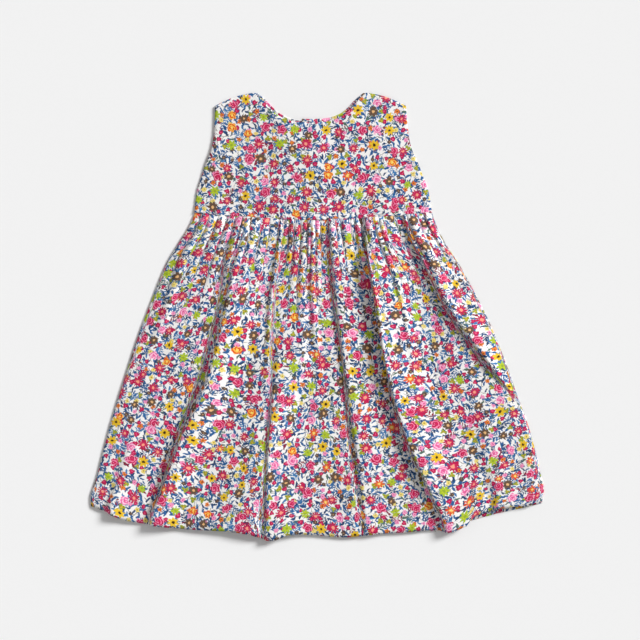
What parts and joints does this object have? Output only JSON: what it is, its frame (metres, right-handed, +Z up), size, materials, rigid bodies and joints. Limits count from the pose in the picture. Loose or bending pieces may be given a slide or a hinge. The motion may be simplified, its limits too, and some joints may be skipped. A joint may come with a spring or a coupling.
{
  "type": "toddler sundress",
  "caption": "Toddler's sleeveless cotton sundress laid flat, face up: a scoop-necked bodice on a full gathered skirt with a plain hem.",
  "frame": {"origin": "middle of the footprint, on the surface that the dress lies on", "axes": "+Y from the hem to the neck, +X to the right of the front as seen from above, +Z up, out of the front of the dress"},
  "size_m": [0.4958, 0.4936, 0.0137],
  "materials": {
    "printed_cotton": "matte plain weave with a small flower print",
    "button": "satin pearl"
  },
  "bodies": {
    "root": {"front_bodice": "printed_cotton", "front_skirt": "printed_cotton", "back_bodice_left": "printed_cotton", "back_bodice_right": "printed_cotton", "back_skirt": "printed_cotton", "button_1": "button", "button_2": "button", "button_3": "button"}
  },
  "joints": []
}
